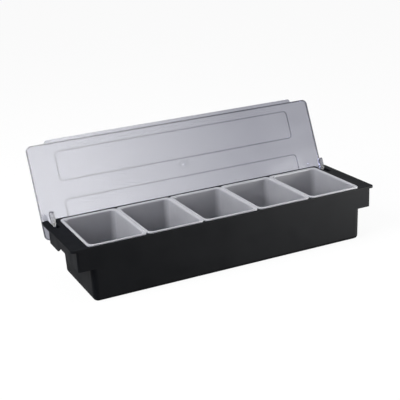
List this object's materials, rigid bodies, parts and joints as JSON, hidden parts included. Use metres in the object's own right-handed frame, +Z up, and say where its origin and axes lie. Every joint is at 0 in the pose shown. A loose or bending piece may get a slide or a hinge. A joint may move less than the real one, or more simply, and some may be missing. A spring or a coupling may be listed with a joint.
{
  "type": "bar garnish tray",
  "caption": "Bar garnish tray: a black moulded box with hollow grip ears, translucent lift-out inserts hung side by side, and a smoky clear lid that leans open behind it.",
  "frame": {"origin": "middle of the housing's flat underside", "axes": "+X along the row of inserts, -Y towards the user, +Z up"},
  "size_m": [0.4958, 0.2015, 0.1918],
  "materials": {
    "black_housing": "fine moulded texture, satin",
    "smoky_lid": "clear, smoke tinted, polished",
    "translucent_insert": "natural translucent, satin",
    "pin_steel": "drawn rod"
  },
  "bodies": {
    "base": {"base_housing": "black_housing"},
    "pins": {"hinge_pin_left": "pin_steel", "hinge_pin_right": "pin_steel"},
    "lid": {"lid": "smoky_lid"},
    "insert_1": {"insert_1": "translucent_insert"},
    "insert_2": {"insert_2": "translucent_insert"},
    "insert_3": {"insert_3": "translucent_insert"},
    "insert_4": {"insert_4": "translucent_insert"},
    "insert_5": {"insert_5": "translucent_insert"}
  },
  "joints": [
    {"name": "lid_lift", "type": "slide", "parent": "base", "child": "pins", "axis": [0, 0, 1], "range_m": [-0.009, 0]},
    {"name": "lid_hinge", "type": "hinge", "parent": "pins", "child": "lid", "pos_m": [0, 0.06017, 0.07675], "axis": [-1, 0, 0], "range_deg": [-112.7, 0]},
    {"name": "insert_1_lift", "type": "slide", "parent": "base", "child": "insert_1", "axis": [0, 0, 1], "range_m": [0, 0.085]},
    {"name": "insert_2_lift", "type": "slide", "parent": "base", "child": "insert_2", "axis": [0, 0, 1], "range_m": [0, 0.085]},
    {"name": "insert_3_lift", "type": "slide", "parent": "base", "child": "insert_3", "axis": [0, 0, 1], "range_m": [0, 0.085]},
    {"name": "insert_4_lift", "type": "slide", "parent": "base", "child": "insert_4", "axis": [0, 0, 1], "range_m": [0, 0.085]},
    {"name": "insert_5_lift", "type": "slide", "parent": "base", "child": "insert_5", "axis": [0, 0, 1], "range_m": [0, 0.085]}
  ]
}
